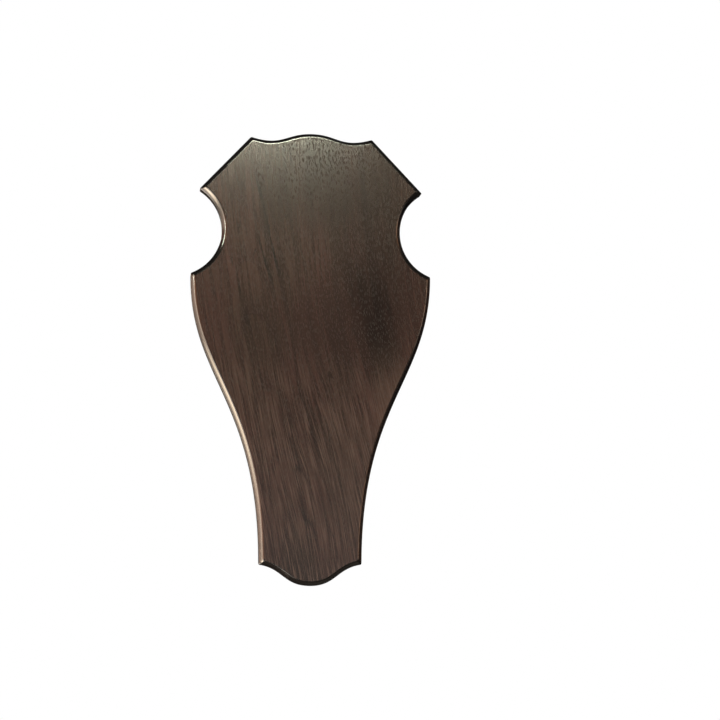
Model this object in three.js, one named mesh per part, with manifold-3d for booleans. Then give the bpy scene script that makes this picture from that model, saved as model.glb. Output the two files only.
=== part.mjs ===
// Antler mounting plaque: one oak board with a crested top, sloped shoulders, a round bite
// below each shoulder, flanks that sweep in to a narrow foot, and a cove round its face.
// Millimetres, +Z up. The face looks along -Y and the flat back lies on the wall at Y = 0.
// The origin is on the back, on the centreline, half way between the crest and the foot.

import * as THREE from 'three';
import { mergeVertices } from 'three/addons/utils/BufferGeometryUtils.js';
import Module from 'manifold-3d';

// Board
const boardWidth = 120; // over the waist tips, the widest place
const boardHeight = 226; // crest to foot
const boardThickness = 10;

// Top edge: it falls from the crest into a dip and lifts again to the top corner
const cornerSpan = 61; // between the two top corners
const cornerDrop = 2.2; // top corners below the crest
const cornerTilt = 17; // degrees the edge climbs by as it meets the corner
const crestPull = 0.44; // how long the crest stays level, as a share of half the corner span
const cornerPull = 0.55; // how straight the edge runs into the corner, as the same share

// Shoulders and bites
const shoulderSpan = 112; // between the two shoulder tips
const shoulderDrop = 29.3; // shoulder tips below the crest
const waistDrop = 71.9; // waist tips below the crest
const biteDepth = 13.4; // of each bite, square to the line between its two tips

// Flanks: upright at the waist tip and upright again at the foot corner
const waistPull = 0.367; // how far the flank stays upright, as a share of its height
const footPull = 0.57; // the same at the foot

// Foot: a round crest between two corners
const footSpan = 50.5; // between the two foot corners
const footRise = 10.4; // foot corners above the lowest point
const footTilt = 7.5; // degrees the edge falls by as it leaves the corner
const footCornerPull = 0.496; // as cornerPull, a share of half the foot span
const footCrestPull = 0.507; // as crestPull

// Moulded edge: a rounded outer lip, a cove that grows steeper from it, and an eased edge to the face
const lipRadius = 0.5;
const coveWidth = 1.45;
const coveStart = 40; // degrees the cove slopes by at the lip
const coveEnd = 76; // degrees it slopes by under the face
const arrisRadius = 0.6; // eased edge between the cove and the face

// Keyhole in the back, for a round-headed screw in the wall
const hangDrop = 34; // screw seat below the crest
const slotLength = 13; // from the entry hole's centre up to the seat
const slotWidth = 5; // clears the screw's shank
const headWidth = 10; // clears the screw's head
const slotLipThickness = 2.5; // wood that the head hooks behind
const keyholeDepth = 7.5;

// How finely the curves are divided
const edgeSteps = { top: 14, shoulder: 1, bite: 18, flank: 24, foot: 14 };
const lipSteps = 2;
const coveSteps = 4;
const arrisSteps = 2;
const keyholeSteps = 12; // to a half turn

const wasm = await Module();
wasm.setup();

const stainedOak = new THREE.MeshStandardMaterial({ color: 0x4a3c33, roughness: 0.42, metalness: 0 });

// Right half of the outline, seen from the front, from the crest down to the foot.
// Each side is one curve, and the board lies on the right hand of the way it runs.
function outlineSides() {
  const crestZ = boardHeight / 2;
  const footZ = -boardHeight / 2;
  const crest = new THREE.Vector2(0, crestZ);
  const corner = new THREE.Vector2(cornerSpan / 2, crestZ - cornerDrop);
  const shoulder = new THREE.Vector2(shoulderSpan / 2, crestZ - shoulderDrop);
  const waist = new THREE.Vector2(boardWidth / 2, crestZ - waistDrop);
  const footCorner = new THREE.Vector2(footSpan / 2, footZ + footRise);
  const foot = new THREE.Vector2(0, footZ);
  return [
    { curve: topEdge(crest, corner), steps: edgeSteps.top },
    { curve: new THREE.LineCurve(corner, shoulder), steps: edgeSteps.shoulder },
    { curve: biteArc(shoulder, waist), steps: edgeSteps.bite },
    { curve: flank(waist, footCorner), steps: edgeSteps.flank },
    { curve: footEdge(footCorner, foot), steps: edgeSteps.foot },
  ];
}

// A point at a length from another, at an angle from the level line
function reach(from, length, degrees) {
  const angle = THREE.MathUtils.degToRad(degrees);
  return new THREE.Vector2(from.x + length * Math.cos(angle), from.y + length * Math.sin(angle));
}

function topEdge(crest, corner) {
  const half = corner.x - crest.x;
  const level = reach(crest, crestPull * half, 0);
  const climb = reach(corner, cornerPull * half, 180 + cornerTilt);
  return new THREE.CubicBezierCurve(crest, level, climb, corner);
}

// Circle arc through two tips, as deep as the bite from the line between them
function biteArc(from, to) {
  const chord = from.distanceTo(to);
  const radius = (chord * chord / 4 + biteDepth * biteDepth) / (2 * biteDepth);
  const along = to.clone().sub(from).normalize();
  const outward = new THREE.Vector2(-along.y, along.x);
  const centre = from.clone().lerp(to, 0.5).addScaledVector(outward, radius - biteDepth);
  const start = from.clone().sub(centre).angle();
  const end = to.clone().sub(centre).angle();
  return new THREE.ArcCurve(centre.x, centre.y, radius, start, end, false);
}

function flank(waist, footCorner) {
  const height = waist.y - footCorner.y;
  const down = reach(waist, waistPull * height, -90);
  const up = reach(footCorner, footPull * height, 90);
  return new THREE.CubicBezierCurve(waist, down, up, footCorner);
}

function footEdge(corner, foot) {
  const half = corner.x - foot.x;
  const fall = reach(corner, footCornerPull * half, 180 + footTilt);
  const level = reach(foot, footCrestPull * half, 0);
  return new THREE.CubicBezierCurve(corner, fall, level, foot);
}

// Point on a side moved into the board by the inset, square to the edge
function insetPoint(curve, u, inset) {
  const tangent = curve.getTangent(u);
  const point = curve.getPoint(u);
  return point.add(new THREE.Vector2(tangent.y, -tangent.x).multiplyScalar(inset));
}

// Where two sides meet once both are moved in: the end of the first and the start of the next,
// found by following the two tangents to where they cross, over and over
function mitre(first, next, inset) {
  const step = 1e-4; // how far apart the two points of a tangent lie, as a share of the side
  const turns = 20; // more than enough to settle
  let u = 1;
  let v = 0;
  for (let turn = 0; turn < turns; turn += 1) {
    const gap = insetPoint(first, u, inset).sub(insetPoint(next, v, inset));
    const alongFirst = insetPoint(first, u, inset).sub(insetPoint(first, u - step, inset)).divideScalar(step);
    const alongNext = insetPoint(next, v + step, inset).sub(insetPoint(next, v, inset)).divideScalar(step);
    const cross = alongFirst.cross(alongNext);
    u -= gap.cross(alongNext) / cross;
    v -= gap.cross(alongFirst) / cross;
  }
  return { u, v };
}

// Closed ring of the whole outline, moved in by the inset
function outlineRing(sides, inset) {
  const corners = sides.slice(1).map((side, i) => mitre(sides[i].curve, side.curve, inset));
  const right = [];
  sides.forEach((side, i) => {
    const start = i === 0 ? 0 : corners[i - 1].v;
    const end = i === corners.length ? 1 : corners[i].u;
    for (let k = 0; k < side.steps; k += 1) {
      right.push(insetPoint(side.curve, start + (end - start) * k / side.steps, inset));
    }
  });
  right.push(insetPoint(sides.at(-1).curve, 1, inset));
  const left = right.slice(1, -1).reverse().map((point) => new THREE.Vector2(-point.x, point.y));
  return [...right, ...left];
}

// Edge profile from the back to the face: how far in, and how far in front of the back.
// The slope's angle gives every arc, and each arc starts with the slope that the last one ends with.
function edgeProfile() {
  const start = THREE.MathUtils.degToRad(coveStart);
  const end = THREE.MathUtils.degToRad(coveEnd);
  const coveRadius = coveWidth / (Math.sin(end) - Math.sin(start));
  const lipInset = lipRadius * (1 - Math.sin(start));
  const coveTop = boardThickness - arrisRadius * (1 - Math.cos(end));
  const lipTop = coveTop - coveRadius * (Math.cos(start) - Math.cos(end));
  const wallTop = lipTop - lipRadius * Math.cos(start);
  const profile = [{ inset: 0, front: 0 }];
  for (let k = 0; k <= lipSteps; k += 1) {
    const slope = THREE.MathUtils.lerp(Math.PI / 2, start, k / lipSteps);
    profile.push({
      inset: lipRadius * (1 - Math.sin(slope)),
      front: wallTop + lipRadius * Math.cos(slope),
    });
  }
  for (let k = 1; k <= coveSteps; k += 1) {
    const slope = THREE.MathUtils.lerp(start, end, k / coveSteps);
    profile.push({
      inset: lipInset + coveRadius * (Math.sin(slope) - Math.sin(start)),
      front: lipTop + coveRadius * (Math.cos(start) - Math.cos(slope)),
    });
  }
  for (let k = 1; k <= arrisSteps; k += 1) {
    const slope = THREE.MathUtils.lerp(end, 0, k / arrisSteps);
    profile.push({
      inset: lipInset + coveWidth + arrisRadius * (Math.sin(end) - Math.sin(slope)),
      front: boardThickness - arrisRadius * (1 - Math.cos(slope)),
    });
  }
  return profile;
}

// The board before the keyhole is cut: one ring for each step of the profile, closed by caps
function boardGeometry() {
  const sides = outlineSides();
  const profile = edgeProfile();
  const rings = profile.map((step) => outlineRing(sides, step.inset));
  const count = rings[0].length;
  const positions = [];
  rings.forEach((ring, i) => {
    for (const point of ring) {
      positions.push(point.x, -profile[i].front, point.y);
    }
  });
  const faces = [];
  for (let i = 0; i + 1 < rings.length; i += 1) {
    for (let k = 0; k < count; k += 1) {
      const a = i * count + k;
      const b = i * count + (k + 1) % count;
      faces.push(a, b + count, b, a, a + count, b + count);
    }
  }
  const lastRing = (rings.length - 1) * count;
  for (const [a, b, c] of THREE.ShapeUtils.triangulateShape(rings[0], [])) {
    faces.push(a, c, b);
  }
  for (const [a, b, c] of THREE.ShapeUtils.triangulateShape(rings.at(-1), [])) {
    faces.push(lastRing + a, lastRing + b, lastRing + c);
  }
  const geometry = new THREE.BufferGeometry();
  geometry.setAttribute('position', new THREE.Float32BufferAttribute(positions, 3));
  geometry.setIndex(faces);
  return geometry;
}

// Upright slot with round ends, cut in from the back between two depths
function slotCutter(width, top, bottom, from, to) {
  const shape = new THREE.Shape();
  shape.absarc(0, top, width / 2, 0, Math.PI, false);
  shape.absarc(0, bottom, width / 2, Math.PI, 2 * Math.PI, false);
  shape.closePath();
  const options = { depth: to - from, bevelEnabled: false, curveSegments: keyholeSteps };
  const geometry = new THREE.ExtrudeGeometry(shape, options);
  geometry.rotateX(Math.PI / 2);
  geometry.translate(0, -from, 0);
  return geometry;
}

// Entry hole for the head, and above it a slot for the shank with room for the head behind
function keyholeCutters() {
  const clear = 1; // how far the cutters stand out of the back
  const seatZ = boardHeight / 2 - hangDrop;
  const entryZ = seatZ - slotLength;
  const entryLength = keyholeDepth + clear;
  const entry = new THREE.CylinderGeometry(headWidth / 2, headWidth / 2, entryLength, 2 * keyholeSteps);
  entry.translate(0, clear - entryLength / 2, entryZ);
  const shankSlot = slotCutter(slotWidth, seatZ, entryZ, -clear, keyholeDepth);
  const headRoom = slotCutter(headWidth, seatZ, entryZ, slotLipThickness, keyholeDepth);
  return [entry, shankSlot, headRoom];
}

function solid(geometry) {
  geometry.deleteAttribute('normal');
  geometry.deleteAttribute('uv');
  const merged = mergeVertices(geometry);
  return new wasm.Manifold(new wasm.Mesh({
    numProp: 3,
    vertProperties: new Float32Array(merged.attributes.position.array),
    triVerts: new Uint32Array(merged.index.array),
  }));
}

function plaqueBoard() {
  let board = solid(boardGeometry());
  for (const cutter of keyholeCutters()) {
    board = board.subtract(solid(cutter));
  }
  const cut = board.getMesh();
  const geometry = new THREE.BufferGeometry();
  geometry.setAttribute('position', new THREE.BufferAttribute(cut.vertProperties, 3));
  geometry.setIndex(new THREE.BufferAttribute(cut.triVerts, 1));
  geometry.computeVertexNormals();
  const mesh = new THREE.Mesh(geometry, stainedOak);
  mesh.name = 'plaque_board';
  return mesh;
}

const plaque = new THREE.Group();
plaque.add(plaqueBoard());

export default plaque;
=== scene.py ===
import bmesh
import bpy
import numpy as np
from mathutils import Euler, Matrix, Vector


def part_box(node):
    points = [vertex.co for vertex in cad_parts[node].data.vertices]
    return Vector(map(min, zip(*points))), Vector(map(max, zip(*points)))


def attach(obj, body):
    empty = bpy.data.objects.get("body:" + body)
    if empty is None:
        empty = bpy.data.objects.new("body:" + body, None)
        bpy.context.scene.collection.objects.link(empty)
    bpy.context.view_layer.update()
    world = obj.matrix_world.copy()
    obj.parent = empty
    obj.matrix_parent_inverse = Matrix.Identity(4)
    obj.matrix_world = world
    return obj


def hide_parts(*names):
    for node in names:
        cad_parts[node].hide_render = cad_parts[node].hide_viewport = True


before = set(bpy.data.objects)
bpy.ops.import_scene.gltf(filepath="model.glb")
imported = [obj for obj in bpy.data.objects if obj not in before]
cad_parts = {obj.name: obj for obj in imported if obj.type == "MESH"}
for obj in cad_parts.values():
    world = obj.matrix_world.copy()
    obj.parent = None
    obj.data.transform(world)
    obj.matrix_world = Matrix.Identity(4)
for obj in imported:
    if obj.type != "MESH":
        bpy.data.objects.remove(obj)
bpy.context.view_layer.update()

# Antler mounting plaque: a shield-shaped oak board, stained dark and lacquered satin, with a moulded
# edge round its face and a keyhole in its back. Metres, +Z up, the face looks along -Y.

mm = 0.001
mergeWithin = 1e-7    # metres: points nearer than this become one


# Colours are written as sRGB hex. The sRGB curve, straight at its foot and a power above, turns each
# channel to linear light.
def fromHex(code):
    channel = np.array([int(code[i:i + 2], 16) for i in (1, 3, 5)]) / 255
    linear = np.where(channel <= 0.04045, channel / 12.92, ((channel + 0.055) / 1.055) ** 2.4)
    return (*linear.tolist(), 1.0)


# Adds a node of any kind and gives its outputs. Inputs fill its sockets in their order, sockets fills
# others by name or number, and an input that is another node's output is linked to it.
def addNode(tree, kind, *inputs, sockets=None, **settings):
    node = tree.nodes.new("ShaderNode" + kind)
    for name, value in settings.items():
        setattr(node, name, value)
    for key, value in [*enumerate(inputs), *(sockets or {}).items()]:
        if isinstance(value, bpy.types.NodeSocket):
            tree.links.new(value, node.inputs[key])
        else:
            node.inputs[key].default_value = value
    return node.outputs


# The board, in millimetres. Its width, height and thickness come from the frame.
boardSizes = {
    "cornerSpan": 61.0,      # between the two top corners
    "cornerDrop": 2.2,       # top corners below the crest
    "cornerTilt": 17.0,      # degrees the top edge climbs by as it meets the corner
    "crestPull": 0.44,       # how long the crest stays level, as a share of half the corner span
    "cornerPull": 0.55,      # how straight the edge runs into the corner
    "shoulderSpan": 112.0,   # between the two shoulder tips
    "shoulderDrop": 29.3,    # shoulder tips below the crest
    "waistDrop": 71.9,       # waist tips below the crest
    "biteDepth": 13.4,       # of the round bite between shoulder and waist
    "waistPull": 0.367,      # how far the flank stays upright, as a share of its height
    "footPull": 0.57,        # the same at its lower end
    "footSpan": 50.5,        # between the two foot corners
    "footRise": 10.4,        # foot corners above the lowest point
    "footTilt": 7.5,         # degrees the foot's edge falls by as it leaves the corner
    # How straight it leaves, and how long it stays level at the lowest point, as shares of half the foot span
    "footCornerPull": 0.496,
    "footCrestPull": 0.507,
    "lipRadius": 0.3,        # of the rounded outer lip
    "coveWidth": 1.45,       # of the cove, which grows steeper from the lip to the face
    "coveStart": 40.0,       # degrees it slopes by at the lip
    "coveEnd": 76.0,         # degrees it slopes by under the face
    "faceArris": 0.8,        # radius of the eased edge between the cove and the face
    "backArris": 0.4,        # radius of the eased edge round the back
    "arrisReach": 0.25,      # how far to each side the face's arris is worn and carries a painted highlight
    "cornerTurns": 6,        # how often the tips are sanded over
    "crestFan": 88.0,        # heights on the centreline where the flat faces' spines end
    "footFan": -97.0,
    "sideSteps": (64, 44, 64, 110, 56),    # points along top edge, shoulder, bite, flank and foot
    "endCrowding": 0.8,      # how much closer together they lie at the tips
    # Points in each part of the edge profile
    "profilePoints": {"back": 7, "wall": 6, "lip": 6, "cove": 12, "arris": 9},
    "faceRows": 26,          # rings of points from the edge in to the middle of each flat face
    "rowCrowding": 1.6,      # how much closer together they lie at the edge
    "sharpAngle": 32.0,      # degrees past which two faces meet in a crisp edge
}


# Cubic curve: four points weighted by the cubic Bernstein shares of t
def cubic(p, q, r, s):
    def point(t):
        t = t[..., None]
        return (1 - t) ** 3 * p + 3 * (1 - t) ** 2 * t * q + 3 * (1 - t) * t ** 2 * r + t ** 3 * s
    return point


# A point at a length from another, at an angle from the level line
def reach(start, length, degrees):
    angle = np.radians(degrees)
    return start + length * np.array([np.cos(angle), np.sin(angle)])


# Circle arc through two tips: its sagitta is the bite's depth, so its radius is
# (chord squared / 4 + depth squared) / (2 depth), and t sweeps the angle between the tips
def biteArc(start, end, depth):
    chord = np.linalg.norm(end - start)
    radius = (chord ** 2 / 4 + depth ** 2) / (2 * depth)
    along = (end - start) / chord
    centre = (start + end) / 2 + np.array([-along[1], along[0]]) * (radius - depth)
    first, last = [np.arctan2(*(tip - centre)[::-1]) % (2 * np.pi) for tip in (start, end)]

    def point(t):
        angle = first + (last - first) * t
        return centre + radius * np.stack([np.cos(angle), np.sin(angle)], axis=-1)
    return point


# Right half of the outline from the crest down to the foot: cubic, line, arc, cubic, cubic
def outlineSides(size, width, height):
    crest = np.array([0.0, height / 2])
    corner = np.array([size["cornerSpan"] / 2, height / 2 - size["cornerDrop"]])
    shoulder = np.array([size["shoulderSpan"] / 2, height / 2 - size["shoulderDrop"]])
    waist = np.array([width / 2, height / 2 - size["waistDrop"]])
    footCorner = np.array([size["footSpan"] / 2, size["footRise"] - height / 2])
    foot = np.array([0.0, -height / 2])
    flankHeight = waist[1] - footCorner[1]
    return [
        cubic(crest, reach(crest, size["crestPull"] * corner[0], 0),
              reach(corner, size["cornerPull"] * corner[0], 180 + size["cornerTilt"]), corner),
        lambda t: corner + (shoulder - corner) * t[..., None],
        biteArc(shoulder, waist, size["biteDepth"]),
        cubic(waist, reach(waist, size["waistPull"] * flankHeight, -90),
              reach(footCorner, size["footPull"] * flankHeight, 90), footCorner),
        cubic(footCorner, reach(footCorner, size["footCornerPull"] * footCorner[0], 180 + size["footTilt"]),
              reach(foot, size["footCrestPull"] * footCorner[0], 0), foot),
    ]


# Unit vector out of the board: the side's direction turned a quarter to the left
def outward(side, t):
    step = 1e-5
    along = side(t + step) - side(t - step)
    along = along / np.linalg.norm(along, axis=-1, keepdims=True)
    return np.stack([-along[..., 1], along[..., 0]], axis=-1)


# Where two sides meet once both are moved in, for every inset at once: Newton's method on
# "end of the first minus start of the next", whose slopes are taken as small differences
def mitres(first, following, insets):
    step, newtonTurns = 1e-4, 12
    u, v = np.ones_like(insets), np.zeros_like(insets)

    def moved(side, t):
        return side(t) - outward(side, t) * insets[:, None]

    for _ in range(newtonTurns):
        gap = moved(first, u) - moved(following, v)
        alongFirst = (moved(first, u) - moved(first, u - step)) / step
        alongNext = (moved(following, v + step) - moved(following, v)) / step
        cross = alongFirst[:, 0] * alongNext[:, 1] - alongFirst[:, 1] * alongNext[:, 0]
        u = u - (gap[:, 0] * alongNext[:, 1] - gap[:, 1] * alongNext[:, 0]) / cross
        v = v - (gap[:, 0] * alongFirst[:, 1] - gap[:, 1] * alongFirst[:, 0]) / cross
    return u, v


# Closed rings of the outline, one for each inset, and how level the edge runs at each point.
# The right half is sampled side by side with its points crowded at the tips, then mirrored.
def outlineRings(size, sides, insets):
    meets = [mitres(sides[i], sides[i + 1], insets) for i in range(len(sides) - 1)]
    starts = [np.zeros_like(insets)] + [v for u, v in meets]
    ends = [u for u, v in meets] + [np.ones_like(insets)]
    rings, levels = [], []
    for side, start, end, steps in zip(sides, starts, ends, size["sideSteps"]):
        even = np.arange(steps) / steps
        share = even + size["endCrowding"] * ((1 - np.cos(np.pi * even)) / 2 - even)
        t = start[:, None] + (end - start)[:, None] * share
        out = outward(side, t)
        rings.append(side(t) - out * insets[:, None, None])
        levels.append(np.abs(out[..., 1]))
    last = np.ones((len(insets), 1))
    rings.append(sides[-1](last) - outward(sides[-1], last) * insets[:, None, None])
    levels.append(last)
    right, rightLevel = np.concatenate(rings, axis=1), np.concatenate(levels, axis=1)
    left = right[:, -2:0:-1] * np.array([-1.0, 1.0])
    ring = np.concatenate([right, left], axis=1)
    level = np.concatenate([rightLevel, rightLevel[:, -2:0:-1]], axis=1)
    for _ in range(size["cornerTurns"]):  # each turn moves a point half way to between its neighbours
        ring = ring / 2 + (np.roll(ring, 1, axis=1) + np.roll(ring, -1, axis=1)) / 4
        level = level / 2 + (np.roll(level, 1, axis=1) + np.roll(level, -1, axis=1)) / 4
    return ring, level


# Edge profile from the back to the face, as inset and height over the back. A slope's angle gives
# every arc: a round edge moves in by radius (1 - sin angle) and the cove by radius sin angle.
def edgeProfile(size, thickness):
    start, end = np.radians([size["coveStart"], size["coveEnd"]])
    back, lip, arris = size["backArris"], size["lipRadius"], size["faceArris"]
    coveRadius = size["coveWidth"] / (np.sin(end) - np.sin(start))
    points = size["profilePoints"]
    backTurn = np.linspace(0, np.pi / 2, points["back"])
    lipTurn = np.linspace(np.pi / 2, start, points["lip"])
    coveTurn = np.linspace(start, end, points["cove"])[1:]
    arrisTurn = np.linspace(end, 0, points["arris"])[1:]
    lipEnd = lip * (1 - np.sin(start))
    coveTop = thickness - arris * (1 - np.cos(end))
    lipTop = coveTop - coveRadius * (np.cos(start) - np.cos(end))
    wallTop = lipTop - lip * np.cos(start)
    wall = np.linspace(back, wallTop, points["wall"])[1:-1]
    inset = np.concatenate([
        back * (1 - np.sin(backTurn)), 0 * wall, lip * (1 - np.sin(lipTurn)),
        lipEnd + coveRadius * (np.sin(coveTurn) - np.sin(start)),
        lipEnd + size["coveWidth"] + arris * (np.sin(end) - np.sin(arrisTurn)),
    ])
    front = np.concatenate([
        back * (1 - np.cos(backTurn)), wall, wallTop + lip * np.cos(lipTurn),
        lipTop + coveRadius * (np.cos(start) - np.cos(coveTurn)), thickness - arris * (1 - np.cos(arrisTurn)),
    ])
    return inset, front, wallTop


# Rows of a flat face, from its ring in to the spine on the centreline: each point moves straight
# to its own height on the spine, and near the crest and the foot they all run to one point
def faceRows(size, ring, front, shares):
    spine = np.stack([0 * ring[:, 0], np.clip(ring[:, 1], size["footFan"], size["crestFan"])], axis=-1)
    rows = spine + (ring - spine) * shares[:, None, None]
    return rows, np.full(len(shares), front)


# A grid of rows by columns as quads, each row closed to a ring: point (row, column) joins
# (row, column + 1) and the same two in the next row
def meshOfRows(name, rows):
    rowCount, columnCount = rows.shape[:2]
    start = np.arange((rowCount - 1) * columnCount)
    following = start - start % columnCount + (start + 1) % columnCount
    quads = np.stack([start, following, following + columnCount, start + columnCount], axis=-1)
    mesh = bpy.data.meshes.new(name)
    mesh.from_pydata(rows.reshape(-1, 3) * mm, [], quads.tolist())
    return mesh


# Merges doubled points, which closes the spines, and turns every face outwards
def closeMesh(mesh):
    work = bmesh.new()
    work.from_mesh(mesh)
    bmesh.ops.remove_doubles(work, verts=work.verts, dist=mergeWithin)
    bmesh.ops.recalc_face_normals(work, faces=work.faces)
    work.to_mesh(mesh)
    work.free()


# The whole board as one grid of rows: back, edge profile and face, each row one closed ring.
# Shares on its points tell end grain, worn arris, sawn side, moulding and plain back apart; the arris carries
# a painted highlight, and end grain and sawn side painted shade.
def plaqueBoardMesh(size, width, height, thickness):
    sides = outlineSides(size, width, height)
    inset, front, wallTop = edgeProfile(size, thickness)
    rings, levels = outlineRings(size, sides, inset)
    count = size["faceRows"]
    shares = 1 - (np.arange(1, count + 1) / count) ** size["rowCrowding"]
    backRows, backFront = faceRows(size, rings[0], 0.0, shares[::-1])
    frontRows, frontFront = faceRows(size, rings[-1], thickness, shares)
    flat = np.concatenate([backRows, rings, frontRows])
    depth = np.concatenate([backFront, front, frontFront])
    rows = np.stack([flat[..., 0], -depth[:, None] + 0 * flat[..., 0], flat[..., 1]], axis=-1)
    mesh = meshOfRows("plaque_board_oak", rows)
    noEdge = np.zeros(count)
    faceEdge = inset[-1] - size["faceArris"] / 2
    arris = np.exp(-((inset - faceEdge) / size["arrisReach"]) ** 2)
    side = (front < wallTop).astype(float)
    shareOf = {
        "endGrain": np.concatenate([0 * backRows[..., 0], levels, 0 * frontRows[..., 0]]),
        "arris": np.concatenate([noEdge, arris, noEdge])[:, None] + 0 * flat[..., 0],
        "side": np.concatenate([noEdge, side, noEdge])[:, None] + 0 * flat[..., 0],
        "moulding": np.concatenate([noEdge, 1 - side, noEdge])[:, None] + 0 * flat[..., 0],
        "back": np.concatenate([noEdge + 1, 0 * side, noEdge])[:, None] + 0 * flat[..., 0],
    }
    for name, values in shareOf.items():
        attribute = mesh.attributes.new(name, "FLOAT", "POINT")
        attribute.data.foreach_set("value", values.ravel().astype(np.float32))
    closeMesh(mesh)
    return mesh


# Straight prism over an outline: the outline at two depths, each end closed to its middle
def prism(name, outline, near, far):
    middle = np.broadcast_to(outline.mean(axis=0), outline.shape)
    flat = np.stack([middle, outline, outline, middle])
    depth = np.array([near, near, far, far])[:, None] + 0 * flat[..., 0]
    mesh = meshOfRows(name, np.stack([flat[..., 0], -depth, flat[..., 1]], axis=-1))
    closeMesh(mesh)
    return mesh


# The keyhole in the back, in millimetres
keyholeSizes = {
    "hangDrop": 34.0,        # screw seat below the crest
    "slotLength": 13.0,      # from the seat down to the entry
    "slotWidth": 5.0,        # for the screw's shank
    "headWidth": 10.0,       # for the screw's head
    "slotLip": 2.5,          # wood that the head hooks behind
    "depth": 7.5,
    "clear": 1.0,            # how far the cutters stand out of the back
    "entryStretch": 0.01,    # between the entry's two half circles, so that no two of their points meet
    "turnSteps": 40,         # points in a half circle
}


# Upright slot with round ends: a half turn over the top point and one under the bottom point
def slotOutline(size, width, top, bottom):
    angle = np.linspace(0, np.pi, size["turnSteps"])
    over = np.stack([np.cos(angle), np.sin(angle)], axis=-1) * width / 2
    return np.concatenate([over + [0, top], -over + [0, bottom]])


# Three cuts: the entry that lets the screw's head in, the slot that its shank runs up in, and the
# wider one behind the lip for its head
def cutKeyhole(board, size, height):
    seat = height / 2 - size["hangDrop"]
    entry = seat - size["slotLength"]
    entryTop = entry + size["entryStretch"]
    cutters = {
        "entry": (slotOutline(size, size["headWidth"], entryTop, entry), -size["clear"], size["depth"]),
        "shank": (slotOutline(size, size["slotWidth"], seat, entry), -size["clear"], size["depth"]),
        "head": (slotOutline(size, size["headWidth"], seat, entry), size["slotLip"], size["depth"]),
    }
    for name, (outline, near, far) in cutters.items():
        cutter = bpy.data.objects.new(name, prism(name, outline, near, far))
        bpy.context.collection.objects.link(cutter)
        cut = board.modifiers.new(name, "BOOLEAN")
        cut.operation, cut.solver, cut.object = "DIFFERENCE", "EXACT", cutter
        graph = bpy.context.evaluated_depsgraph_get()
        mesh = bpy.data.meshes.new_from_object(board.evaluated_get(graph))
        board.modifiers.clear()
        board.data = mesh
        bpy.data.objects.remove(cutter)
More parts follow.
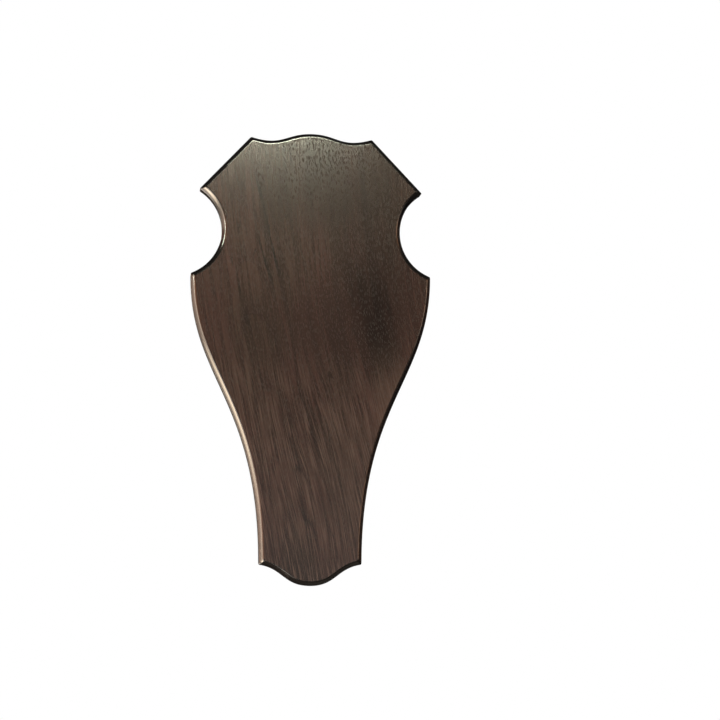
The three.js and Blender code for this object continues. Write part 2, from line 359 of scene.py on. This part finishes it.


# Dark-stained oak under satin lacquer, sanded and sprayed. The film gives a soft sheen, and the open
# pores break it: they look dark where the sheen is bright and pale where the board lies in shade.
# Oak's growth rings part rows of wide pores from dense wood. End grain and the sawn sides soaked the
# stain up and are painted nearly black, partly as painted shade, and the back got one thin coat.
stainedOak = {
    "wood": "#2a1f1b",
    "redWood": "#2b1d1a",
    "poreRow": "#241816",                # the open wood at the start of each ring
    "backWood": "#54412f",
    "paleWood": "#4a3b36",               # thin fibres low on the board that took less stain
    "pore": "#120c0a",
    "soakedAndShade": "#060505",                 # end grain and sides, whose black is partly painted shade, and dark lines and marks
    # The worn arris colour is partly a painted highlight: a thin light line along the face's edge
    "wornArrisAndHighlight": "#54392b",
    "rowShare": 0.6,                     # how far each covers the wood below it
    "backShare": 0.6,
    "paleShare": 0.6,
    "poreShare": 0.65,
    "sideShare": 0.8,
    # Broad patches that make the wood lighter or darker: mm over the middle, half widths, tone
    "patches": [
        {"x": 33.0, "z": 27.0, "across": 38.0, "along": 62.0, "tone": 0.34},
        {"x": 50.0, "z": -28.0, "across": 30.0, "along": 46.0, "tone": 2.1},
        {"x": 2.0, "z": 10.0, "across": 60.0, "along": 50.0, "tone": 0.64},
        {"x": -5.0, "z": -32.0, "across": 26.0, "along": 36.0, "tone": 0.68},
        {"x": -6.0, "z": -106.0, "across": 34.0, "along": 26.0, "tone": 0.6},
        {"x": 20.0, "z": 90.0, "across": 70.0, "along": 60.0, "tone": 0.62},
    ],
    "patchStray": 1.0,                   # how far their rims stray, in half widths
    # Dark lines that cross the grain on the face: mm at the upper end, mm aside for each mm down, mm
    "lines": [
        {"x": -29.5, "z": 96.0, "lean": 0.24, "length": 62.0},
        {"x": -28.8, "z": 66.0, "lean": 0.3, "length": 36.0},
        {"x": -39.5, "z": 97.0, "lean": 0.25, "length": 18.0},
        {"x": -37.5, "z": 44.0, "lean": 0.15, "length": 20.0},
    ],
    "lineHalfWidths": (0.75, 0.1),       # mm from its middle, where a line ends and where it is darkest
    "lineFade": 12.0,                    # mm at each end
    "lineStray": 2.0,                    # mm
    "pithAcross": -22.0,                 # mm: the tree's middle lies behind the board's left half
    "pithBehind": 38.0,                  # mm
    "ringWidth": 1.6,                    # mm: oak grows by 1 to 3 a year
    "ringSway": 1.1,                     # rings grow wider and narrower by this many ring widths
    "earlyShare": 0.4,                   # of a ring that is open wood
    "taper": 0.05,                       # mm that the rings move by for each mm up
    "grainLean": 0.14,                   # mm across for each mm down
    "grainSway": 4.8,                    # mm
    "swayLength": 300.0,                 # mm
    "swayShift": 30.0,                   # mm
    "wander": 9.0,                       # mm that the slow noise pushes the grain aside
    # Noise along the grain: mm across it, mm along it, and how many finer layers it has
    "slow": (34.0, 120.0, 2.0),
    "mark": (7.0, 150.0, 1.0),           # thin dark marks lie where it crosses its middle
    "patterns": {
        "cloud": (20.0, 60.0, 2.0),
        "streak": (1.5, 70.0, 3.0),
        "fibre": (0.45, 16.0, 4.0),      # bundles: a fibre of oak is 0.02 mm wide, too fine to show
        "paleFibre": (0.5, 20.0, 2.0),
    },
    "markShift": (3.0, 5.0, 40.0),       # mm, away from where the other noises lie
    "markBand": 0.006,                   # how near the noise's middle a mark shows
    "poreCell": (0.58, 3.2),             # mm across and along: oak's own 0.3 mm would not show
    "poreReach": (0.46, 0.6),            # in cells, in dense and in open wood
    "leastPore": 0.4,                    # the smallest pore, as a share of the largest
    "poreCore": 0.05,                    # in cells, where a pore is darkest
    "poreRim": (0.8, 0.7),               # shares of its reach between which the film breaks
    # Smooth ramps: what each reads, from where to where, and what it gives at either end. Height z
    # is in mm over the board's middle, and y is 0 mm at the back and -10 mm at the face.
    "ramps": {
        "redness": ("cloud", 0.35, 0.65, 0.0, 1.0),
        "fibreTone": ("fibre", 0.3, 0.7, 0.75, 1.25),
        "streakTone": ("streak", 0.3, 0.7, 0.7, 1.35),
        "toneShare": ("z", 30.0, -50.0, 0.6, 0.75),      # how much of both tones shows
        "paleAmong": ("paleFibre", 0.49, 0.63, 0.0, 1.0),
        "paleHeight": ("z", 15.0, -40.0, 0.0, 1.0),
        "poreGrowth": ("z", 20.0, 70.0, 0.68, 1.0),      # pores are larger up on the board
        "offEdges": ("edge", 0.5, 0.0, 0.0, 1.0),        # none on the moulding and on end grain
        "nearFace": ("y", -5.0, -8.0, 0.0, 1.0),
        "lineShare": ("fibre", 0.3, 0.6, 0.45, 0.95),
        "markShare": ("fibre", 0.3, 0.6, 0.2, 0.6),
        "wornAndHighlightShare": ("streak", 0.3, 0.6, 0.1, 0.7),
        "soakedAndShadeShare": ("endGrain", 0.05, 0.5, 0.0, 0.95),
    },
    "reliefDepth": 0.03,                 # mm that a pore is sunk
    "fibreRelief": 0.1,                  # of that depth
    "edgeRelief": 0.25,                  # share of the relief left where the edge is moulded
    "bumpStrength": 0.5,
    "filmRoughness": 0.205,
    "poreRoughness": 1.0,
    "backRoughness": 0.6,
    "roughnessSwing": 0.1,               # with the fibres
    "ior": 1.5,                          # lacquer
}


def stainedOakMaterial(look):
    material = bpy.data.materials.new("dark-stained oak under satin lacquer")
    material.use_nodes = True
    tree = material.node_tree
    tree.nodes.clear()
    smooth = {"interpolation_type": "SMOOTHSTEP"}
    middle = 0.5    # of every noise

    place = addNode(tree, "TexCoord")["Object"]
    inMm = addNode(tree, "VectorMath", place, sockets={"Scale": 1 / mm}, operation="SCALE")[0]
    x, y, z = addNode(tree, "SeparateXYZ", inMm)
    shares = {}
    for name in ("endGrain", "arris", "side", "moulding", "back"):
        shares[name] = addNode(tree, "Attribute", attribute_name=name)["Fac"]

    # Grain that leans and sways: across = x + lean z + sway sin(turn (z + shift)) + slow wander
    shifted = addNode(tree, "Math", z, look["swayShift"], operation="ADD")[0]
    turned = addNode(tree, "Math", shifted, 2 * np.pi / look["swayLength"], operation="MULTIPLY")[0]
    sway = addNode(tree, "Math", turned, operation="SINE")[0]
    leant = addNode(tree, "Math", z, look["grainLean"], x, operation="MULTIPLY_ADD")[0]
    swayed = addNode(tree, "Math", sway, look["grainSway"], leant, operation="MULTIPLY_ADD")[0]
    wide, long, detail = look["slow"]
    scaled = addNode(tree, "VectorMath", inMm, (1 / wide, 1 / wide, 1 / long), operation="MULTIPLY")[0]
    slow = addNode(tree, "TexNoise", sockets={"Vector": scaled, "Scale": 1.0, "Detail": detail})["Fac"]
    slowSwing = addNode(tree, "Math", slow, middle, operation="SUBTRACT")[0]
    across = addNode(tree, "Math", slowSwing, look["wander"], swayed, operation="MULTIPLY_ADD")[0]
    grain = addNode(tree, "CombineXYZ", across, y, z)[0]

    # Noises along that grain, and how far three of them lie from their middle
    noise, swing = {}, {}
    for name, (wide, long, detail) in look["patterns"].items():
        scaled = addNode(tree, "VectorMath", grain, (1 / wide, 1 / wide, 1 / long), operation="MULTIPLY")[0]
        sockets = {"Vector": scaled, "Scale": 1.0, "Detail": detail}
        noise[name] = addNode(tree, "TexNoise", sockets=sockets)["Fac"]
    for name in ("cloud", "streak", "fibre"):
        swing[name] = addNode(tree, "Math", noise[name], middle, operation="SUBTRACT")[0]

    edge = addNode(tree, "Math", shares["moulding"], shares["endGrain"], operation="MAXIMUM")[0]
    read = {**noise, "y": y, "z": z, "edge": edge, "endGrain": shares["endGrain"]}
    ramp = {}
    for name, (source, *ends) in look["ramps"].items():
        ramp[name] = addNode(tree, "MapRange", read[source], *ends, **smooth)[0]

    # Growth rings: the distance from the pith, which the tree's taper changes along the board
    aside = addNode(tree, "Math", across, look["pithAcross"], operation="SUBTRACT")[0]
    inFront = addNode(tree, "Math", y, look["pithBehind"], operation="SUBTRACT")[0]
    fromPith = addNode(tree, "CombineXYZ", aside, inFront)[0]
    distance = addNode(tree, "VectorMath", fromPith, operation="LENGTH")["Value"]
    tapered = addNode(tree, "Math", z, look["taper"], distance, operation="MULTIPLY_ADD")[0]
    rings = addNode(tree, "Math", tapered, look["ringWidth"], operation="DIVIDE")[0]
    rings = addNode(tree, "Math", noise["cloud"], look["ringSway"], rings, operation="MULTIPLY_ADD")[0]
    phase = addNode(tree, "Math", rings, operation="FRACT")[0]
    early = addNode(tree, "MapRange", phase, look["earlyShare"], 0.0, **smooth)[0]

    # Pores: long cells along the grain, wide where a ring starts and small or missing elsewhere. Cells
    # are counted by across - y, so that they run on round the edge and aren't drawn out through it.
    wide, long = look["poreCell"]
    roundTheEdge = addNode(tree, "Math", across, y, operation="SUBTRACT")[0]
    column = addNode(tree, "Math", roundTheEdge, wide, operation="DIVIDE")[0]
    row = addNode(tree, "Math", z, long, operation="DIVIDE")[0]
    grid = addNode(tree, "CombineXYZ", column, row)[0]
    cell = addNode(tree, "TexVoronoi", sockets={"Vector": grid, "Scale": 1.0}, voronoi_dimensions="2D")
    number = addNode(tree, "SeparateColor", cell["Color"])[0]
    least, (small, large) = look["leastPore"], look["poreReach"]
    scatter = addNode(tree, "Math", number, 1 - least, least, operation="MULTIPLY_ADD")[0]
    widest = addNode(tree, "Math", early, large - small, small, operation="MULTIPLY_ADD")[0]
    radius = addNode(tree, "Math", scatter, widest, operation="MULTIPLY")[0]
    radius = addNode(tree, "Math", radius, ramp["poreGrowth"], operation="MULTIPLY")[0]
    pore = addNode(tree, "MapRange", cell["Distance"], radius, look["poreCore"], **smooth)[0]
    pore = addNode(tree, "Math", pore, ramp["offEdges"], operation="MULTIPLY")[0]
    fromCore = addNode(tree, "Math", cell["Distance"], radius, operation="DIVIDE")[0]
    broken = addNode(tree, "MapRange", fromCore, *look["poreRim"], **smooth)[0]
    broken = addNode(tree, "Math", broken, ramp["offEdges"], operation="MULTIPLY")[0]

    # Marks: thin bands where a long noise passes its middle
    wide, long, detail = look["mark"]
    moved = addNode(tree, "VectorMath", grain, look["markShift"], operation="ADD")[0]
    scaled = addNode(tree, "VectorMath", moved, (1 / wide, 1 / wide, 1 / long), operation="MULTIPLY")[0]
    bands = addNode(tree, "TexNoise", sockets={"Vector": scaled, "Scale": 1.0, "Detail": detail})["Fac"]
    apart = addNode(tree, "Math", bands, middle, operation="SUBTRACT")[0]
    apart = addNode(tree, "Math", apart, operation="ABSOLUTE")[0]
    mark = addNode(tree, "MapRange", apart, look["markBand"], 0.0, **smooth)[0]
    mark = addNode(tree, "Math", mark, ramp["markShare"], operation="MULTIPLY")[0]

    # The stained wood, made lighter and darker by fibres, streaks and patches. A patch fades with
    # the root of aside squared + down squared, both in its half widths, and the cloud bends its rim.
    openWood = addNode(tree, "Math", early, look["rowShare"], operation="MULTIPLY")[0]
    back = addNode(tree, "Math", shares["back"], look["backShare"], operation="MULTIPLY")[0]
    wood = fromHex(look["wood"])
    for name, share in (("redWood", ramp["redness"]), ("poreRow", openWood), ("backWood", back)):
        sockets = {"Factor": share, 6: wood, 7: fromHex(look[name])}
        wood = addNode(tree, "Mix", sockets=sockets, data_type="RGBA")[2]
    tone = addNode(tree, "Math", ramp["fibreTone"], ramp["streakTone"], operation="MULTIPLY")[0]
    tone = addNode(tree, "Math", tone, 1.0, operation="SUBTRACT")[0]
    tone = addNode(tree, "Math", tone, ramp["toneShare"], 1.0, operation="MULTIPLY_ADD")[0]
    for patch in look["patches"]:
        aside = addNode(tree, "Math", x, patch["x"], operation="SUBTRACT")[0]
        aside = addNode(tree, "Math", aside, patch["across"], operation="DIVIDE")[0]
        down = addNode(tree, "Math", z, patch["z"], operation="SUBTRACT")[0]
        down = addNode(tree, "Math", down, patch["along"], operation="DIVIDE")[0]
        away = addNode(tree, "Math", down, down, operation="MULTIPLY")[0]
        away = addNode(tree, "Math", aside, aside, away, operation="MULTIPLY_ADD")[0]
        away = addNode(tree, "Math", away, operation="SQRT")[0]
        away = addNode(tree, "Math", swing["cloud"], look["patchStray"], away, operation="MULTIPLY_ADD")[0]
        patchTone = addNode(tree, "MapRange", away, 1.0, 0.0, 1.0, patch["tone"], **smooth)[0]
        tone = addNode(tree, "Math", tone, patchTone, operation="MULTIPLY")[0]
    wood = addNode(tree, "VectorMath", wood, sockets={"Scale": tone}, operation="SCALE")[0]

    # What lies over it, in turn: pale fibres, pores, lines, marks, the worn arris with its painted highlight,
    # and soaked edges with their painted shade
    pale = addNode(tree, "Math", ramp["paleAmong"], ramp["paleHeight"], operation="MULTIPLY")[0]
    pale = addNode(tree, "Math", pale, look["paleShare"], operation="MULTIPLY")[0]
    poreShare = addNode(tree, "Math", pore, look["poreShare"], operation="MULTIPLY")[0]
    layers = [("paleWood", pale), ("pore", poreShare)]
    # A line runs down from its upper end at x + lean down, fades at both ends and stays on the face
    for line in look["lines"]:
        down = addNode(tree, "Math", line["z"], z, operation="SUBTRACT")[0]
        aside = addNode(tree, "Math", down, -line["lean"], x, operation="MULTIPLY_ADD")[0]
        aside = addNode(tree, "Math", aside, line["x"], operation="SUBTRACT")[0]
        aside = addNode(tree, "Math", swing["streak"], look["lineStray"], aside, operation="MULTIPLY_ADD")[0]
        aside = addNode(tree, "Math", aside, operation="ABSOLUTE")[0]
        begun = addNode(tree, "MapRange", down, 0.0, look["lineFade"], **smooth)[0]
        fadeFrom = line["length"] - look["lineFade"]
        ended = addNode(tree, "MapRange", down, line["length"], fadeFrom, **smooth)[0]
        along = addNode(tree, "Math", begun, ended, operation="MULTIPLY")[0]
        drawn = addNode(tree, "MapRange", aside, *look["lineHalfWidths"], **smooth)[0]
        drawn = addNode(tree, "Math", drawn, along, operation="MULTIPLY")[0]
        drawn = addNode(tree, "Math", drawn, ramp["nearFace"], operation="MULTIPLY")[0]
        drawn = addNode(tree, "Math", drawn, ramp["lineShare"], operation="MULTIPLY")[0]
        layers.append(("soakedAndShade", drawn))
    # The face's edge is lighter: partly worn wood, partly a painted highlight
    wornAndHighlight = addNode(tree, "Math", shares["arris"], ramp["wornAndHighlightShare"], operation="MULTIPLY")[0]
    # End grain and sawn sides nearly black: stain they soaked up, and painted shade
    side = addNode(tree, "Math", shares["side"], look["sideShare"], operation="MULTIPLY")[0]
    soakedAndShade = addNode(tree, "Math", ramp["soakedAndShadeShare"], side, operation="MAXIMUM")[0]
    layers += [("soakedAndShade", mark), ("wornArrisAndHighlight", wornAndHighlight), ("soakedAndShade", soakedAndShade)]
    for name, share in layers:
        sockets = {"Factor": share, 6: wood, 7: fromHex(look[name])}
        wood = addNode(tree, "Mix", sockets=sockets, data_type="RGBA")[2]

    # Relief: fibres stand up a little, pores are sunk, and both are sanded down along the edge
    sunk = addNode(tree, "Math", pore, -1.0, operation="MULTIPLY")[0]
    relief = addNode(tree, "Math", noise["fibre"], look["fibreRelief"], sunk, operation="MULTIPLY_ADD")[0]
    kept = addNode(tree, "MapRange", ramp["offEdges"], 0.0, 1.0, look["edgeRelief"], 1.0, **smooth)[0]
    relief = addNode(tree, "Math", relief, kept, operation="MULTIPLY")[0]
    depth = look["reliefDepth"] * mm
    bump = addNode(tree, "Bump", sockets={
        "Height": relief, "Strength": look["bumpStrength"], "Distance": depth})[0]

    # Sheen: satin film, matt where a pore breaks it and on the thinly coated back
    satin, matt = look["filmRoughness"], look["poreRoughness"]
    film = addNode(tree, "MapRange", broken, 0.0, 1.0, satin, matt, **smooth)[0]
    film = addNode(tree, "Math", swing["fibre"], look["roughnessSwing"], film, operation="MULTIPLY_ADD")[0]
    rough = addNode(tree, "Mix", sockets={
        "Factor": shares["back"], "A": film, "B": look["backRoughness"]})[0]
    shader = addNode(tree, "BsdfPrincipled", sockets={
        "Base Color": wood, "Roughness": rough, "Normal": bump, "IOR": look["ior"]})[0]
    addNode(tree, "OutputMaterial", shader)
    return material


print("board: outline, moulding and flat faces")
low, high = [np.array(corner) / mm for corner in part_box("plaque_board")]
width, thickness, height = high - low
board = bpy.data.objects.new("plaque_board_oak", plaqueBoardMesh(boardSizes, width, height, thickness))
bpy.context.collection.objects.link(board)
print("board: keyhole")
cutKeyhole(board, keyholeSizes, height)
board.data.name = "plaque_board_oak"
board.data.shade_smooth()
board.data.set_sharp_from_angle(angle=np.radians(boardSizes["sharpAngle"]))
print("board: stain and lacquer")
board.data.materials.append(stainedOakMaterial(stainedOak))
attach(board, "root")
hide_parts("plaque_board")
print("board has", len(board.data.polygons), "faces")

# Studio: a pale floor under the hanging board, and plain soft light. Metres and degrees: a light's
# turn is 0 in front of the board and grows to the right, and its lift is over the level. Its
# radiance is in watts per square metre and steradian.
studio = {
    "floorDrop": 1.6,          # below the board, which hangs at eye level
    "floorSize": 8.0,
    "floorColour": "#f2f0ec",
    "floorRoughness": 0.8,
    "floorGlow": 0.75,         # for the camera alone, because the lights hardly reach the floor
    "roomColour": "#ffffff",
    "roomLight": 0.035,        # how bright the room is to the board
    "roomSeen": 1.0,           # and to the camera
    "lights": {
        # Broad, low on the left: the light on the whole face
        "key": {"turn": -50, "lift": -31, "away": 0.72, "size": (0.66, 0.5), "radiance": 10,
                "colour": "#fff0e2"},
        # Weak, from near the camera, so that the dark parts aren't quite black
        "front": {"turn": 6, "lift": -10, "away": 1.5, "size": (0.8, 0.6), "radiance": 0.6,
                  "colour": "#fffcf8"},
        # Four on the left whose middles lie behind the board: the edges there, and the back
        "left": {"turn": -121, "lift": -21, "away": 0.75, "size": (0.72, 0.24), "radiance": 7,
                 "colour": "#ffe8c8"},
        "leftLow": {"turn": -115, "lift": -36, "away": 0.75, "size": (0.47, 0.36), "radiance": 11,
                    "colour": "#ffe8d0"},
        "leftWide": {"turn": -112, "lift": -10, "away": 0.75, "size": (0.95, 0.69), "radiance": 2.8,
                     "colour": "#ffe8d0"},
        "leftTop": {"turn": -143, "lift": 17, "away": 0.75, "size": (0.12, 0.19), "radiance": 22,
                    "colour": "#f6ffe8"},
        # From the right, for the edges there
        "right": {"turn": 55, "lift": 5, "away": 1.3, "size": (0.5, 0.5), "radiance": 6,
                  "colour": "#ffe8d0"},
        # Two small ones close above, mirrored as the sheen over the upper face
        "top": {"turn": -3, "lift": 41, "away": 0.335, "size": (0.09, 0.03), "radiance": 220,
                "colour": "#fbffe4"},
        "topRight": {"turn": 11, "lift": 41, "away": 0.338, "size": (0.04, 0.03), "radiance": 30,
                     "colour": "#fbffe4"},
    },
}


# One level square under the board, with its middle below the board's
def makeFloor(look):
    half, drop = look["floorSize"] / 2, -look["floorDrop"]
    mesh = bpy.data.meshes.new("floor")
    corners = [(-half, -half, drop), (half, -half, drop), (half, half, drop), (-half, half, drop)]
    mesh.from_pydata(corners, [], [(0, 1, 2, 3)])
    floor = bpy.data.objects.new("floor", mesh)
    bpy.context.collection.objects.link(floor)
    paint = bpy.data.materials.new("matt white floor")
    paint.use_nodes = True
    tree = paint.node_tree
    tree.nodes.clear()
    seen = addNode(tree, "LightPath")["Is Camera Ray"]
    glow = addNode(tree, "Math", seen, look["floorGlow"], operation="MULTIPLY")[0]
    colour = fromHex(look["floorColour"])
    shader = addNode(tree, "BsdfPrincipled", sockets={
        "Base Color": colour, "Roughness": look["floorRoughness"],
        "Emission Color": colour, "Emission Strength": glow})[0]
    addNode(tree, "OutputMaterial", shader)
    mesh.materials.append(paint)


# White where the camera looks, dim all round, so that the room doesn't wash the dark lacquer out
def makeRoom(look):
    world = bpy.data.worlds.new("studio")
    bpy.context.scene.world = world
    world.use_nodes = True
    tree = world.node_tree
    tree.nodes.clear()
    seen = addNode(tree, "LightPath")["Is Camera Ray"]
    strength = addNode(tree, "Mix", sockets={
        "Factor": seen, "A": look["roomLight"], "B": look["roomSeen"]})[0]
    sky = addNode(tree, "Background", fromHex(look["roomColour"]), strength)[0]
    addNode(tree, "OutputWorld", sky)


# A light looks back at the board from its turn, its lift and how far away it is. Its power is
# its radiance times pi times its area.
def makeLights(look):
    for name, values in look["lights"].items():
        turn, lift = np.radians([values["turn"], values["lift"]])
        towards = Vector((np.sin(turn) * np.cos(lift), -np.cos(turn) * np.cos(lift), np.sin(lift)))
        lamp = bpy.data.lights.new(name, "AREA")
        lamp.shape = "RECTANGLE"
        lamp.size, lamp.size_y = values["size"]
        lamp.energy = values["radiance"] * np.pi * lamp.size * lamp.size_y
        lamp.color = fromHex(values["colour"])[:3]
        light = bpy.data.objects.new(name, lamp)
        light.location = towards * values["away"]
        light.rotation_euler = towards.to_track_quat("Z", "Y").to_euler()
        light.visible_camera = False
        bpy.context.collection.objects.link(light)


print("studio")
makeFloor(studio)
makeRoom(studio)
makeLights(studio)

# Camera: nearly square on, a little left of the board and below its middle, with a long lens
cameraView = {
    "at": (-0.0779, -0.9, -0.1064),
    "lift": 6.67,            # degrees up
    "turn": 6.54,            # degrees to the right
    "lens": 90.85,           # mm
    "sensor": 36.0,          # mm
}
print("camera")
lens = bpy.data.cameras.new("camera")
lens.lens, lens.sensor_width = cameraView["lens"], cameraView["sensor"]
camera = bpy.data.objects.new("camera", lens)
camera.location = cameraView["at"]
camera.rotation_euler = Euler(np.radians([90 + cameraView["lift"], 0.0, -cameraView["turn"]]), "XYZ")
bpy.context.collection.objects.link(camera)
bpy.context.scene.camera = camera
bpy.context.scene.view_settings.view_transform = "Standard"
